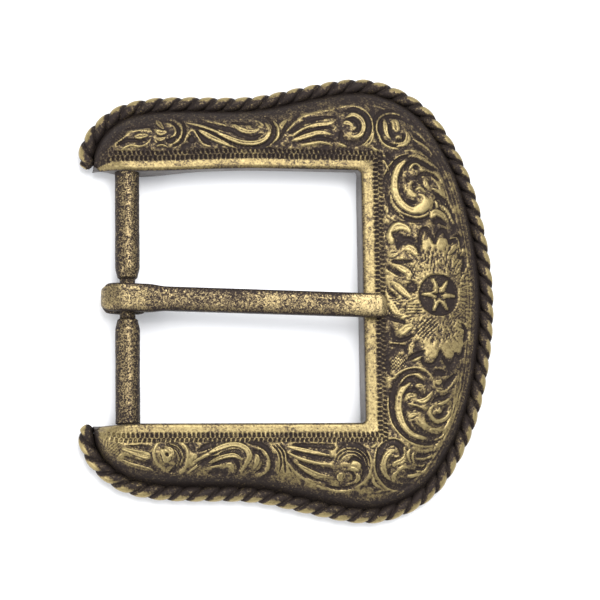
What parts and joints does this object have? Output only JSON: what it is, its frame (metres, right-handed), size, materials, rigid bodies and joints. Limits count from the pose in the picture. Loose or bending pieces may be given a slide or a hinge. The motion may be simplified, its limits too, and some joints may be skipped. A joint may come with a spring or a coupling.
{
  "type": "belt buckle",
  "caption": "Western heel-bar belt buckle: domed D-shaped frame with a rope edge round a rectangular strap window, a turned heel bar and a hooked prong that hinges on it.",
  "frame": {"origin": "under the middle of the whole buckle, on the surface it lies on", "axes": "+X from the heel bar to the crossbar that the prong's tip rests on, +Y along the heel bar, +Z out of the show face"},
  "size_m": [0.0675, 0.0724, 0.0077],
  "materials": {
    "frame_brass": "antiqued: bright on the rim and raised work, near black in the recesses",
    "rope_brass": "antiqued: bright on the strands' outer sides, black between them",
    "bar_brass": "antiqued and worn in patches, fine hammered texture",
    "prong_brass": "brown satin along the shank, bright where the tip is handled"
  },
  "bodies": {
    "buckle_frame": {"frame": "frame_brass", "rope_edge": "rope_brass", "heel_bar": "bar_brass"},
    "prong": {"prong": "prong_brass"}
  },
  "joints": [
    {"name": "prong_hinge", "type": "hinge", "parent": "buckle_frame", "child": "prong", "pos_m": [-0.02612, 0, 0.003], "axis": [0, -1, 0], "range_deg": [0, 170]}
  ]
}
